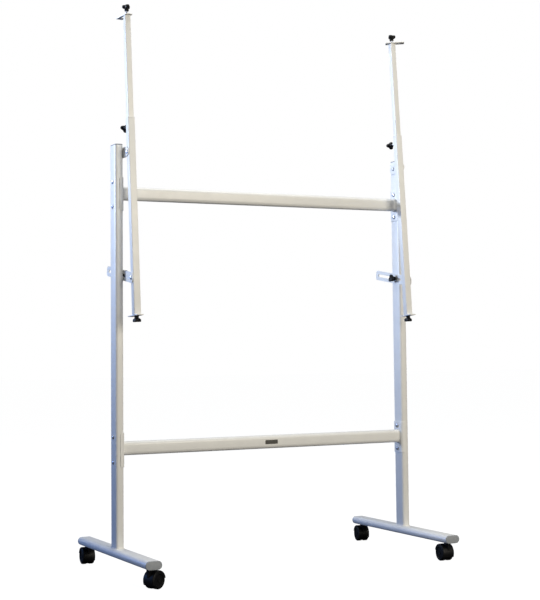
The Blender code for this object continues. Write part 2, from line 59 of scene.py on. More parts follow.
# ---- sizes that the boxes don't give (metres and degrees) ----
GAP = 0.0003
UPRIGHT_R, UPRIGHT_WALL = 0.0095, 0.002
BAR_R, BAR_WALL = 0.014, 0.0015
FOOT_WALL = 0.002
CAP_PLUG = {"foot": 0.011, "upright": 0.015}    # how far a cap reaches into its tube
CAP_CROWN = {"foot": 0.0030, "upright": 0.0028}
CAP_TAPER, CAP_NOSE, CAP_LIP = 0.0006, 0.0007, 0.0002
WELD_STEP, WELD_OUT, WELD_IN = 0.00055, 0.0004, 0.0006    # point spacing, and place on the seam
FOOT_WELD_R, BAR_WELD_R, BOSS_WELD_R = 0.0019, 0.0017, 0.0013
HOLDER, HOLDER_R, HOLDER_WALL = 0.026, 0.0025, 0.0016
EXTENSION, EXTENSION_R, EXTENSION_WALL = 0.021, 0.0020, 0.0015
END_INSET, END_DEPTH, END_EDGE = 0.0004, 0.004, 0.0003    # plate that closes a square tube
BUSH_HEIGHT, BUSH_LIP, BUSH_LIP_Z, BUSH_PLAY, BUSH_EDGE = 0.0037, 0.0004, 0.0008, 0.0002, 0.0010
BUSH_BORE = HOLDER_WALL + 0.0006
BOSS_R, BOSS_EDGE, BOSS_SINK, BOSS_BORE = 0.008, 0.0008, 0.0006, 0.003
BOLT_R, BOLT_HEAD_R, BOLT_HEAD_T = 0.004, 0.0075, 0.0035
SOCKET, SOCKET_EDGE, SOCKET_DEPTH = 0.0050, 0.0002, 0.0020
NUT, NUT_HEIGHT, NUT_EDGE, BOLT_TIP = 0.0130, 0.0050, 0.0001, 0.006
STUD_R, THREAD_PITCH, THREAD_DEPTH = 0.003, 0.001, 0.00035
KNOB_NECK_R, KNOB_NECK, KNOB_HEAD_R, KNOB_LOBE, KNOB_HEAD = 0.008, 0.008, 0.0130, 0.0034, 0.0135
SADDLE_T, SADDLE_REACH, SADDLE_CORNER = 0.0025, 0.014, 0.004
LUG_HEIGHT, LUG_BACK, LUG_EYE, LUG_CORNER = 0.038, 0.022, 0.013, 0.004
LUG_EYE_ARC, LUG_TOP, LUG_SLOPE = (112, 258), 0.006, 0.018
LINK_HEIGHT, LINK_NOSE, LINK_LENGTH, LINK_CORNER = 0.038, 0.015, 0.252, 0.012
LINK_SLOT = (0.011, 0.062, 0.232)    # width, start and end, from the link's pin
LABEL_CORNER, LABEL_RIM = 0.0015, 0.0011
JAW_WIDTH, JAW_LENGTH, JAW_T, JAW_CORNER = 0.027, 0.075, 0.003, 0.004
JAW_SLOT = (0.007, 0.045)
JAW_POSE = {    # turn about the screw in degrees, and shift of the plate along its slot
    ("left", "top"): (10.0, 0.0185),
    ("right", "top"): (60.0, -0.012),
    ("left", "bottom"): (7.0, 0.007),
    ("right", "bottom"): (0.0, 0.0),
}
WHEEL_R, WHEEL_OUT, WHEEL_IN, TRAIL = 0.0300, 0.0235, 0.0045, 0.022
FENDER_IN, FENDER_OUT, FENDER_ARC = 0.0314, 0.0335, (14, 207)
SHOULDER, SHOULDER_DROP = 0.0040, 0.0030
WEB_HALF, WEB_R = 0.0040, 0.0285
COLLAR_R, COLLAR_BOTTOM, COLLAR_GROOVE = 0.0125, 0.0605, 0.0005
STEM_R, STEM_BOTTOM, STEM_TIP = 0.005, 0.060, 0.0015
COLUMN_HALF, COLUMN_FOOT, COLUMN_TOP = 0.0110, 0.050, 0.064
BRAKE_HUB_R, BRAKE_LENGTH, BRAKE_HALF_WIDTH, BRAKE_T, BRAKE_SLOPE = 0.003, 0.012, 0.009, 0.0026, -30
BRAKE_TIP, BRAKE_EDGE = 0.0008, 0.0003
BRAKE_RIBS, RIB_START, RIB_PITCH, RIB_DEPTH = 3, 0.0012, 0.0022, 0.0004
PLATE_EDGE, SOFT_EDGE, SHARP_ANGLE = 0.0005, 0.0006, 40

# ---- camera ----
CAMERA_PLACE = (-2.3532, -4.7326, 0.8177)
CAMERA_YAW, CAMERA_PITCH, CAMERA_ROLL = 27.042, 3.921, -0.6155
CAMERA_SENSOR, CAMERA_LENS = 36, 82.9344    # millimetres
CAMERA_SHIFT = (-0.01412, -0.08262)


# ---- frames ----
def axes_frame(origin, z_axis, x_hint):
    """Frame at origin with local +Z along z_axis and local +X as near x_hint as it can be."""
    z = Vector(z_axis).normalized()
    x = (Vector(x_hint) - z * z.dot(Vector(x_hint))).normalized()
    matrix = Matrix((x, z.cross(x), z)).transposed().to_4x4()
    matrix.translation = Vector(origin)
    return matrix


def turned(degrees, axis):
    return Matrix.Rotation(radians(degrees), 4, axis)


def joint_place(name):
    """Point on a turning joint's axis, and the axis."""
    return Vector(JOINTS[name]["pos_m"]), Vector(JOINTS[name]["axis"])


def holder_frame(side):
    """Origin on the holder's pivot, +Z up along the holder, +Y to the back."""
    pivot = joint_place(f"holder_{side}_tilt")[0]
    along = JOINTS[f"extension_{side}_slide"]["axis"]
    return axes_frame(pivot, along, X_AXIS)


def local_box(node, matrix):
    """Lowest and highest corner of a CAD node in a frame of its own."""
    back = matrix.inverted()
    points = [back @ vertex.co for vertex in NODES[node].data.vertices]
    low = Vector([min(p[k] for p in points) for k in range(3)])
    high = Vector([max(p[k] for p in points) for k in range(3)])
    return low, high


# ---- outlines ----
def rounded_rect(width, height, radius, steps=8):
    points = []
    for quarter, (sx, sy) in enumerate(((1, 1), (-1, 1), (-1, -1), (1, -1))):
        for step in range(steps + 1):
            angle = pi / 2 * (quarter + step / steps)
            points.append((sx * (width / 2 - radius) + radius * cos(angle),
                           sy * (height / 2 - radius) + radius * sin(angle)))
    return points


def circle(radius, steps=40):
    return [(radius * cos(2 * pi * i / steps), radius * sin(2 * pi * i / steps)) for i in range(steps)]


def arc(centre, radius, start, finish, steps):
    """Points from start to finish, in degrees."""
    angles = [radians(start + (finish - start) * i / steps) for i in range(steps + 1)]
    return [(centre[0] + radius * cos(a), centre[1] + radius * sin(a)) for a in angles]


def shifted(outline, dx, dy):
    return [(x + dx, y + dy) for x, y in outline]


# ---- meshes, in local coordinates with +Z as the long axis ----
def loft(rings, closed=False):
    """Skin over rings of points; open ends are filled, or the last ring joins the first."""
    bm = bmesh.new()
    loops = [[bm.verts.new(point) for point in ring] for ring in rings]
    pairs = list(zip(loops, loops[1:]))
    if closed:
        pairs.append((loops[-1], loops[0]))
    else:
        bm.faces.new(loops[0])
        bm.faces.new(list(reversed(loops[-1])))
    for first, second in pairs:
        for i in range(len(first)):
            j = (i + 1) % len(first)
            bm.faces.new((first[i], first[j], second[j], second[i]))
    bmesh.ops.recalc_face_normals(bm, faces=bm.faces)
    return bm


def at_z(outline, z):
    return [(x, y, z) for x, y in outline]


def rounded_end(z, edge, into, steps=3):
    """(inset, z) pairs from a flat end at z round its edge; into is +1 where the solid lies above."""
    return [(edge * (1 - sin(pi / 2 * i / steps)), z + into * edge * (1 - cos(pi / 2 * i / steps)))
            for i in range(steps + 1)]


def bar(section, low, high, edge):
    """Solid bar along Z with rounded end edges; section(inset) gives its outline."""
    steps = rounded_end(low, edge, 1) + list(reversed(rounded_end(high, edge, -1)))
    return loft([at_z(section(inset), z) for inset, z in steps])


def pipe(section, wall, low, high, edge=0.0004):
    """Open tube along Z with rounded outer end edges."""
    outer = rounded_end(low, edge, 1) + list(reversed(rounded_end(high, edge, -1)))
    inner = [(wall, high), (wall, low)]
    return loft([at_z(section(inset), z) for inset, z in outer + inner], closed=True)


def plate(outline, holes, low, high):
    """Flat plate with holes, between two heights."""
    bm = bmesh.new()
    edges = []
    for loop in (outline, *holes):
        verts = [bm.verts.new((x, y, low)) for x, y in loop]
        edges += [bm.edges.new(pair) for pair in zip(verts, verts[1:] + verts[:1])]
    bmesh.ops.triangle_fill(bm, edges=edges, use_beauty=True, use_dissolve=False)
    raised = bmesh.ops.extrude_face_region(bm, geom=list(bm.faces))["geom"]
    bmesh.ops.translate(bm, verts=[v for v in raised if isinstance(v, bmesh.types.BMVert)],
                        vec=(0, 0, high - low))
    bmesh.ops.recalc_face_normals(bm, faces=bm.faces)
    return bm


def turned_solid(profile, steps=48):
    """Solid of revolution about Z from (radius, z) pairs."""
    return loft([at_z(circle(radius, steps), z) for radius, z in profile])


def bead(path, radius, pitch=0.0026, ripple=0.16, sides=10):
    """Closed weld bead along a path of points, with the ripples of its passes."""
    points = [Vector(p) for p in path]
    count = len(points)
    bm = bmesh.new()
    rings = []
    run = 0.0
    for i, point in enumerate(points):
        along = (points[(i + 1) % count] - points[i - 1]).normalized()
        side = along.cross(Z_AXIS).normalized()
        up = side.cross(along)
        size = radius * (1 + ripple * cos(2 * pi * run / pitch))
        rings.append([bm.verts.new(point + size * (side * cos(a) + up * sin(a)))
                      for a in [2 * pi * k / sides for k in range(sides)]])
        run += (points[(i + 1) % count] - point).length
    for first, second in zip(rings, rings[1:] + rings[:1]):
        for k in range(sides):
            after = (k + 1) % sides
            bm.faces.new((first[k], first[after], second[after], second[k]))
    bmesh.ops.recalc_face_normals(bm, faces=bm.faces)
    return bm


def resampled(outline, spacing):
    """The closed outline again, with points at an even spacing."""
    points = [Vector((x, y)) for x, y in outline]
    points.append(points[0])
    lengths = [(b - a).length for a, b in zip(points, points[1:])]
    count = max(12, round(sum(lengths) / spacing))
    result = []
    index, passed = 0, 0.0
    for i in range(count):
        want = sum(lengths) * i / count
        while passed + lengths[index] < want:
            passed += lengths[index]
            index += 1
        share = (want - passed) / max(lengths[index], 1e-9)
        result.append(tuple(points[index].lerp(points[index + 1], share)))
    return result


# ---- pieces ----
def add_piece(name, bm, matrix, body, material, nodes=(), bevel=0.0):
    """New visible mesh at its place, riding on a body and standing for CAD nodes."""
    mesh = bpy.data.meshes.new(name)
    bm.transform(matrix)
    bm.to_mesh(mesh)
    bm.free()
    mesh.materials.append(MATERIALS[material])
    mesh.shade_smooth()
    mesh.set_sharp_from_angle(angle=radians(SHARP_ANGLE))
    piece = bpy.data.objects.new(name, mesh)
    bpy.context.scene.collection.objects.link(piece)
    if bevel:
        modifier = piece.modifiers.new("edges", "BEVEL")
        modifier.width = bevel
        modifier.segments = 2
        modifier.limit_method = "ANGLE"
        modifier.angle_limit = radians(SHARP_ANGLE)
        modifier.harden_normals = True
    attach(piece, body)
    if nodes:
        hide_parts(*nodes)
    return piece


def box_frame(node, axis):
    """Frame at the middle of an axis-aligned node's low end, with local +Z along axis."""
    low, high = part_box(node)
    middle = (low + high) / 2
    start = middle.copy()
    index = max(range(3), key=lambda k: abs(axis[k]))
    start[index] = low[index]
    hint = X_AXIS if index else Z_AXIS
    return axes_frame(start, axis, hint), high - low


# ---- materials ----
class Finish:
    """A Principled material in the making, with helpers for the patterns that vary it."""

    def __init__(self, name, color, roughness, metallic=0.0, specular=0.5):
        self.material = bpy.data.materials.new(name)
        self.material.use_nodes = True
        self.nodes, self.links = self.material.node_tree.nodes, self.material.node_tree.links
        self.shader = self.nodes["Principled BSDF"]
        self.shader.inputs["Base Color"].default_value = (*color, 1)
        self.shader.inputs["Roughness"].default_value = roughness
        self.shader.inputs["Metallic"].default_value = metallic
        self.shader.inputs["Specular IOR Level"].default_value = specular
        self.place = self.nodes.new("ShaderNodeTexCoord").outputs["Object"]

    def noise(self, scale, detail, stretch=(1, 1, 1)):
        """Noise in object space; a stretch above 1 shortens the pattern along that axis."""
        mapping = self.nodes.new("ShaderNodeMapping")
        mapping.inputs["Scale"].default_value = stretch
        self.links.new(self.place, mapping.inputs["Vector"])
        noise = self.nodes.new("ShaderNodeTexNoise")
        noise.inputs["Scale"].default_value = scale
        noise.inputs["Detail"].default_value = detail
        self.links.new(mapping.outputs["Vector"], noise.inputs["Vector"])
        return noise.outputs["Fac"]

    def ranged(self, value, low, high, start=0.3, end=0.7):
        """Map a pattern's stretch from start to end onto low to high."""
        ranged = self.nodes.new("ShaderNodeMapRange")
        for socket, number in zip(("From Min", "From Max", "To Min", "To Max"), (start, end, low, high)):
            ranged.inputs[socket].default_value = number
        self.links.new(value, ranged.inputs["Value"])
        return ranged.outputs["Result"]

    def mixed(self, share, first, second):
        """Colour between two, by a share; either may be a socket."""
        mix = self.nodes.new("ShaderNodeMix")
        mix.data_type = "RGBA"
        self.links.new(share, mix.inputs["Factor"])
        for socket, value in ((mix.inputs["A"], first), (mix.inputs["B"], second)):
            if isinstance(value, tuple):
                socket.default_value = (*value, 1)
            else:
                self.links.new(value, socket)
        return mix.outputs["Result"]

    def drive(self, socket, value):
        self.links.new(value, self.shader.inputs[socket])

    def bump(self, height, distance, strength):
        bump = self.nodes.new("ShaderNodeBump")
        bump.inputs["Distance"].default_value = distance
        bump.inputs["Strength"].default_value = strength
        self.links.new(height, bump.inputs["Height"])
        self.drive("Normal", bump.outputs["Normal"])


def powder_coat(name, color, shade):
    """Satin powder coat: orange-peel skin, faint mottling and small darker specks."""
    finish = Finish(name, color, roughness=0.36)
    mottle = finish.ranged(finish.noise(scale=22, detail=4), 0, 1)
    tone = finish.mixed(mottle, color, shade)
    specks = finish.ranged(finish.noise(scale=900, detail=1), 0, 0.35, start=0.70, end=0.80)
    speck_color = tuple(0.72 * c for c in shade)
    finish.drive("Base Color", finish.mixed(specks, tone, speck_color))
    finish.drive("Roughness", finish.ranged(finish.noise(scale=60, detail=3), 0.32, 0.44))
    finish.bump(finish.noise(scale=520, detail=2), distance=0.00012, strength=0.5)
    return finish.material


def moulded_plastic(name, color, lighter, rough):
    """Moulded plastic with a fine spark-eroded grain and faint handling marks."""
    finish = Finish(name, color, rough, specular=0.2)
    marks = finish.ranged(finish.noise(scale=70, detail=5), 0, 1, start=0.42, end=0.75)
    finish.drive("Base Color", finish.mixed(marks, color, lighter))
    finish.drive("Roughness", finish.ranged(finish.noise(scale=160, detail=3), rough - 0.06, rough + 0.08))
    finish.bump(finish.noise(scale=2600, detail=2), distance=0.00006, strength=0.6)
    return finish.material


def rubber(name, color, dust):
    """Wheel tread: matt, with floor dust in patches."""
    finish = Finish(name, color, roughness=0.6, specular=0.15)
    patches = finish.ranged(finish.noise(scale=120, detail=6), 0, 0.5, start=0.45, end=0.8)
    finish.drive("Base Color", finish.mixed(patches, color, dust))
    finish.drive("Roughness", finish.ranged(patches, 0.48, 0.72, start=0, end=0.5))
    finish.bump(finish.noise(scale=1500, detail=3), distance=0.00010, strength=0.6)
    return finish.material


def zinc_plate(name, color, darker):
    """Bright zinc plating on turned and pressed steel."""
    finish = Finish(name, color, roughness=0.3, metallic=1.0)
    cloud = finish.ranged(finish.noise(scale=240, detail=4), 0, 1)
    finish.drive("Base Color", finish.mixed(cloud, color, darker))
    streaks = finish.noise(scale=500, detail=3, stretch=(6, 1, 1))
    finish.drive("Roughness", finish.ranged(streaks, 0.24, 0.42))
    finish.bump(streaks, distance=0.00004, strength=0.5)
    return finish.material


def printed_plate(name, color, lighter):
    """Dark anodised label with fine lengthways brushing."""
    finish = Finish(name, color, roughness=0.35)
    brushing = finish.ranged(finish.noise(scale=300, detail=4, stretch=(0.06, 1, 8)), 0, 1)
    finish.drive("Base Color", finish.mixed(brushing, color, lighter))
    finish.drive("Roughness", finish.ranged(brushing, 0.28, 0.42, start=0, end=1))
    return finish.material


WHITE, WHITE_SHADE = (0.80, 0.80, 0.785), (0.765, 0.765, 0.755)
GREY, GREY_WORN = (0.297, 0.318, 0.350), (0.351, 0.370, 0.403)
BLACK, BLACK_WORN, BLACK_DUSTY = (0.003, 0.003, 0.0035), (0.0055, 0.0055, 0.0065), (0.007, 0.007, 0.0075)
ZINC, ZINC_CLOUD = (0.62, 0.63, 0.66), (0.48, 0.49, 0.53)
LABEL, LABEL_BRUSHED = (0.055, 0.052, 0.047), (0.10, 0.095, 0.085)
MATERIALS = {
    "white_paint": powder_coat("white_paint_coat", WHITE, WHITE_SHADE),
    "grey_plastic": moulded_plastic("grey_plastic_moulded", GREY, GREY_WORN, 0.45),
    "black_plastic": moulded_plastic("black_plastic_moulded", BLACK, BLACK_WORN, 0.46),
    "black_rubber": rubber("black_rubber_tread", BLACK, BLACK_DUSTY),
    "zinc": zinc_plate("zinc_plated", ZINC, ZINC_CLOUD),
    "dark_label": printed_plate("dark_label_face", LABEL, LABEL_BRUSHED),
}


# ---- frame: feet, uprights, crossbars ----
def build_foot(side):
    node = f"foot_{side}"
    matrix, size = box_frame(node, Y_AXIS)

    def section(inset):
        return rounded_rect(size.x - 2 * inset, size.z - 2 * inset, size.z / 2 - inset - 1e-5, 20)
    add_piece(f"{node}_tube", pipe(section, FOOT_WALL, 0, size.y), matrix, "frame", "white_paint", [node])
    for end, sign in (("front", -1), ("back", 1)):
        cap_node = f"foot_cap_{end}_{side}"
        low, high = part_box(cap_node)
        face = low.y if sign < 0 else high.y
        tube_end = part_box(node)[0].y if sign < 0 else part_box(node)[1].y
        cover = abs(face - tube_end) - GAP
        place = axes_frame(((low.x + high.x) / 2, tube_end + sign * GAP, (low.z + high.z) / 2),
                           (0, sign, 0), X_AXIS)
        add_cap(cap_node, section, cap_steps("foot", FOOT_WALL, cover), place)


def build_upright(side):
    node = f"upright_{side}"
    matrix, size = box_frame(node, Z_AXIS)

    def section(inset):
        return rounded_rect(size.x - 2 * inset, size.y - 2 * inset, UPRIGHT_R - inset)
    add_piece(f"{node}_tube", pipe(section, UPRIGHT_WALL, 0, size.z), matrix, "frame", "white_paint", [node])
    cap_node = f"upright_cap_{side}"
    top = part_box(node)[1].z + GAP
    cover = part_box(cap_node)[1].z - top
    place = Matrix.Translation((matrix.translation.x, matrix.translation.y, top))
    add_cap(cap_node, section, cap_steps("upright", UPRIGHT_WALL, cover), place)
    seat = resampled(rounded_rect(size.x + 0.001, size.y + 0.001, UPRIGHT_R), WELD_STEP)
    weld = bead(at_z(seat, WELD_OUT), FOOT_WELD_R)
    add_piece(f"foot_weld_{side}", weld, matrix, "frame", "white_paint")


def cap_steps(tube, wall, cover, count=6):
    """(inset, z) pairs of a cap: tapered plug, lip, soft edge and gently crowned top."""
    plug, depth, crown = wall + GAP, CAP_PLUG[tube], CAP_CROWN[tube]
    steps = [(plug + CAP_TAPER, -depth - CAP_NOSE), (plug, -depth), (plug, 0), (CAP_LIP, 0), (0, CAP_LIP)]
    for i in range(count + 1):
        angle = pi / 2 * i / count
        steps.append((crown * (1 - cos(angle)), cover * (0.45 + 0.47 * sin(angle))))
    steps.append((crown * 2.2, cover))
    return steps


def add_cap(node, section, steps, place):
    bm = loft([at_z(section(inset), z) for inset, z in steps])
    add_piece(f"{node}_moulded", bm, place, "frame", "grey_plastic", [node])


def build_crossbar(level):
    node = f"crossbar_{level}"
    matrix, size = box_frame(node, X_AXIS)

    def section(inset):
        return rounded_rect(size.z - 2 * inset, size.y - 2 * inset, BAR_R - inset, 10)
    add_piece(f"{node}_tube", pipe(section, BAR_WALL, 0, size.x), matrix, "frame", "white_paint", [node])
    for side, end in (("left", WELD_IN), ("right", size.x - WELD_IN)):
        path = resampled(section(-WELD_OUT), WELD_STEP)
        weld = bead(at_z(path, end), BAR_WELD_R)
        add_piece(f"bar_weld_{level}_{side}", weld, matrix, "frame", "white_paint")


def build_saddle(level, side, sign):
    node = f"saddle_{level}_{side}"
    low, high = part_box(node)
    upright_low, upright_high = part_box(f"upright_{side}")
    centre = (upright_low + upright_high) / 2
    size = upright_high - upright_low

    def side_run(offset, y_sign):
        radius = UPRIGHT_R + offset
        middle = (size.x / 2 - UPRIGHT_R, size.y / 2 - UPRIGHT_R)
        run = [(size.x / 2 - SADDLE_REACH, size.y / 2 + offset)]
        run += arc(middle, radius, 90, 0, 8)
        return [(x, y_sign * y) for x, y in run]

    inner = side_run(GAP, -1) + list(reversed(side_run(GAP, 1)))
    outer = side_run(GAP + SADDLE_T, -1) + list(reversed(side_run(GAP + SADDLE_T, 1)))
    outline = [(-sign * x, y) for x, y in inner + list(reversed(outer))]
    half = (high.z - low.z) / 2
    bm = loft([at_z(outline, z) for z in (-half, half)])
    cut_corners(bm, sign, size.x / 2, half)
    matrix = Matrix.Translation((centre.x, centre.y, (low.z + high.z) / 2))
    add_piece(f"{node}_pressed", bm, matrix, "frame", "white_paint", [node],
              bevel=SOFT_EDGE)


def cut_corners(bm, sign, half_width, half_height):
    """Round the saddle's four free corners by bevelling their short edges."""
    tip = -sign * (half_width - SADDLE_REACH)
    edges = [e for e in bm.edges
             if all(abs(v.co.x - tip) < 1e-5 and abs(abs(v.co.z) - half_height) < 1e-5 for v in e.verts)
             and abs(e.verts[0].co.z - e.verts[1].co.z) < 1e-6]
    bmesh.ops.bevel(bm, geom=edges, offset=SADDLE_CORNER, segments=5, affect="EDGES", profile=0.5)


def hexagon(across, steps=8):
    """Hexagon outline with steps points on each side, so that it lofts to a circle."""
    radius = across / 2 / cos(pi / 6)
    corners = [(radius * cos(pi / 3 * i), radius * sin(pi / 3 * i)) for i in range(7)]
    return [(a[0] + (b[0] - a[0]) * i / steps, a[1] + (b[1] - a[1]) * i / steps)
            for a, b in zip(corners, corners[1:]) for i in range(steps)]


def button_head(face, steps=6):
    """Domed bolt head with a hexagon socket; local Z = face is its seat."""
    first, last = radians(8), radians(70)
    rings = [at_z(circle(BOLT_HEAD_R * 0.94, 48), face)]
    for i in range(steps + 1):
        angle = first + (last - first) * i / steps
        height = BOLT_HEAD_T * sin(angle) / sin(last)
        rings.append(at_z(circle(BOLT_HEAD_R * cos(angle) ** 0.7, 48), face + height))
    top = face + BOLT_HEAD_T
    rings.append(at_z(hexagon(SOCKET), top - 0.00005))
    rings.append(at_z(hexagon(SOCKET - SOCKET_EDGE), top - SOCKET_EDGE))
    rings.append(at_z(hexagon(SOCKET - SOCKET_EDGE), top - SOCKET_DEPTH))
    return loft(rings)


def hex_nut(low, high, across=NUT):
    """Hexagon nut with chamfered faces."""
    radius = across / 2 / cos(pi / 6)
    rings = [at_z(circle(across / 2 * 0.96, 48), low)]
    chamfer = (radius - across / 2) * 0.55
    corner_low, corner_high = low + chamfer, high - chamfer
    rings.append(at_z(hexagon(across), corner_low))
    rings.append(at_z(hexagon(across), corner_high))
    rings.append(at_z(circle(across / 2 * 0.96, 48), high))
    return loft(rings)


def threaded_rod(radius, low, high, steps=20):
    """Rod with a rolled helical thread and chamfered tip at its low end."""
    count = max(4, round((high - low) / THREAD_PITCH * 4))
    rings = []
    for i in range(count + 1):
        z = low + (high - low) * i / count
        ring = []
        for k in range(steps):
            turn = k / steps
            phase = ((z - low) / THREAD_PITCH - turn) % 1.0
            depth = THREAD_DEPTH * abs(2 * phase - 1)
            tip = min(1.0, 0.72 + 0.28 * (z - low) / THREAD_PITCH)
            size = (radius - depth) * tip
            ring.append((size * cos(2 * pi * turn), size * sin(2 * pi * turn), z))
        rings.append(ring)
    return loft(rings)


def build_bolts(side, sign):
    upright_low, upright_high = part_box(f"upright_{side}")
    outer_face = upright_high.x if sign > 0 else upright_low.x
    for level in BARS:
        for name in ("top", "low"):
            node = f"bolt_{level}_{side}_{name}"
            low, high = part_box(node)
            centre = (low + high) / 2
            inner_end = low.x if sign > 0 else high.x
            outward = axes_frame((outer_face + sign * GAP, centre.y, centre.z), (sign, 0, 0), Z_AXIS)
            add_piece(f"{node}_head", button_head(0), outward, "frame", "zinc", [node])
            inward = axes_frame((inner_end, centre.y, centre.z), (sign, 0, 0), Z_AXIS)
            nut = hex_nut(GAP, NUT_HEIGHT)
            add_piece(f"{node}_nut", nut, inward, "frame", "zinc", [node], bevel=NUT_EDGE)
            thread = threaded_rod(BOLT_R * 0.92, 0, BOLT_TIP)
            add_piece(f"{node}_thread", thread, inward, "frame", "zinc", [node])


def build_label():
    low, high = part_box("label_plate")
    centre = (low + high) / 2
    size = high - low
    matrix = axes_frame((centre.x, high.y, centre.z), (0, -1, 0), X_AXIS)

    def section(inset):
        return rounded_rect(size.x - 2 * inset, size.z - 2 * inset, LABEL_CORNER - inset * 0.5, 5)
    steps = ((0, 0), (0, size.y * 0.7), (0.00025, size.y), (LABEL_RIM, size.y),
             (LABEL_RIM + 0.0001, size.y * 0.8))
    bm = loft([at_z(section(inset), z) for inset, z in steps])
    add_piece("label_plate_face", bm, matrix, "frame", "dark_label", ["label_plate"])


# ---- pivots, holders, jaws ----
def build_pivot(side, sign):
    """Pivot lug bolted to the upright, with the eye that carries the holder's pin."""
    node = f"pivot_lug_{side}"
    low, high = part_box(node)
    pivot = joint_place(f"holder_{side}_tilt")[0]
    upright_low, upright_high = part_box(f"upright_{side}")
    bolt_y = (upright_low.y + upright_high.y) / 2
    half = LUG_HEIGHT / 2
    reach = pivot.y - bolt_y
    corner = (LUG_BACK - LUG_CORNER, half - LUG_CORNER)
    outline = arc((corner[0], -corner[1]), LUG_CORNER, -90, 0, 5) + arc(corner, LUG_CORNER, 0, 90, 5)
    outline.append((reach + LUG_TOP, half))
    outline += arc((reach, 0), LUG_EYE, *LUG_EYE_ARC, 14)
    outline.append((reach + LUG_SLOPE, -half))
    hole = circle(BOLT_R + GAP, 24)
    # local X runs along world Y, local Y up, local Z along world X
    matrix = axes_frame((low.x, bolt_y, pivot.z), X_AXIS, Y_AXIS)
    bm = plate(outline, [hole, shifted(hole, reach, 0)], 0, high.x - low.x)
    add_piece(f"{node}_plate", bm, matrix, "frame", "white_paint", [node], bevel=PLATE_EDGE)
    inner_face = low.x if sign > 0 else high.x
    inward = axes_frame((inner_face - sign * GAP / 3, bolt_y, pivot.z), (-sign, 0, 0), Z_AXIS)
    add_piece(f"lug_bolt_{side}", button_head(0), inward, "frame", "zinc")


def build_pin(name, joint, side, sign):
    """Rivet-headed pin on a joint's axis, head towards the upright."""
    low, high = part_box(name)
    centre = joint_place(joint)[0]
    tip = high.x if sign > 0 else low.x
    matrix = axes_frame((tip, centre.y, centre.z), (-sign, 0, 0), Z_AXIS)
    dome = ((0.35, 0), (0.62, 0.0003), (0.86, 0.0010), (0.97, 0.0018), (1, 0.0026), (1, BOLT_HEAD_T))
    profile = [(BOLT_HEAD_R * share, z) for share, z in dome]
    profile += [(BOLT_R, BOLT_HEAD_T), (BOLT_R, high.x - low.x)]
    add_piece(f"{name}_riveted", turned_solid(profile), matrix, f"holder_{side}", "zinc", [name])


def square_section(size, corner, least):
    """Outline of a square tube, by inset, whose corners never get sharper than least."""
    return lambda inset: rounded_rect(size - 2 * inset, size - 2 * inset, max(corner - inset, least), 6)


def build_holder(side):
    matrix = holder_frame(side)
    body = f"holder_{side}"
    node = f"holder_tube_{side}"
    low, high = local_box(node, matrix)
    section = square_section(HOLDER, HOLDER_R, 0.0008)
    tube = pipe(section, HOLDER_WALL, low.z, high.z)
    add_piece(f"{node}_outer", tube, matrix, body, "white_paint", [node])
    inside = HOLDER_WALL * 0.9
    end = bar(lambda inset: section(inside + inset), low.z + END_INSET, low.z + END_DEPTH, END_EDGE)
    add_piece(f"{node}_end", end, matrix, body, "white_paint", [node])
    build_boss(side, matrix, body, high.y)
    add_piece(f"guide_bush_{side}", guide_bush(high.z), matrix, body, "white_paint")


def build_extension(side):
    matrix = holder_frame(side)
    body = f"extension_{side}"
    node = f"extension_tube_{side}"
    low, high = local_box(node, matrix)
    section = square_section(EXTENSION, EXTENSION_R, 0.0006)
    tube = pipe(section, EXTENSION_WALL, low.z, high.z)
    add_piece(f"{node}_inner", tube, matrix, body, "white_paint", [node])
    inside = EXTENSION_WALL * 0.9
    end = bar(lambda inset: section(inside + inset), high.z - END_DEPTH, high.z - END_INSET, END_EDGE)
    add_piece(f"{node}_end", end, matrix, body, "white_paint", [node])


def guide_bush(tube_top):
    """Square ring on top of the holder tube that the extension slides through."""
    size = HOLDER - 2 * BUSH_PLAY

    def section(inset):
        return rounded_rect(size - 2 * inset, size - 2 * inset, HOLDER_R - 0.4 * inset, 6)
    low, high = tube_top + GAP, tube_top + BUSH_HEIGHT
    steps = rounded_end(low, END_EDGE, 1) + list(reversed(rounded_end(high, BUSH_EDGE, -1)))
    steps += [(BUSH_BORE, high), (BUSH_BORE + BUSH_LIP, high - BUSH_LIP_Z), (BUSH_BORE, low)]
    return loft([at_z(section(inset), z) for inset, z in steps], closed=True)


def build_boss(side, matrix, body, reach):
    """Welded boss that the lock knob screws into, behind the holder."""
    knob = matrix.inverted() @ joint_place(f"lock_knob_{side}_turn")[0]
    place = matrix @ Matrix.Translation((0, HOLDER / 2 - BOSS_SINK, knob.z)) @ turned(-90, "X")
    depth = reach - HOLDER / 2 + BOSS_SINK
    bore = STUD_R + GAP
    profile = [(BOSS_R, 0), (BOSS_R, depth - BOSS_EDGE), (BOSS_R - BOSS_EDGE, depth), (bore, depth),
               (bore, depth - BOSS_BORE)]
    add_piece(f"lock_boss_{side}", turned_solid(profile), place, body, "white_paint")
    weld = bead(at_z(resampled(circle(BOSS_R + GAP, 60), 0.0005), 0.0008), BOSS_WELD_R)
    add_piece(f"lock_boss_weld_{side}", weld, place, body, "white_paint")


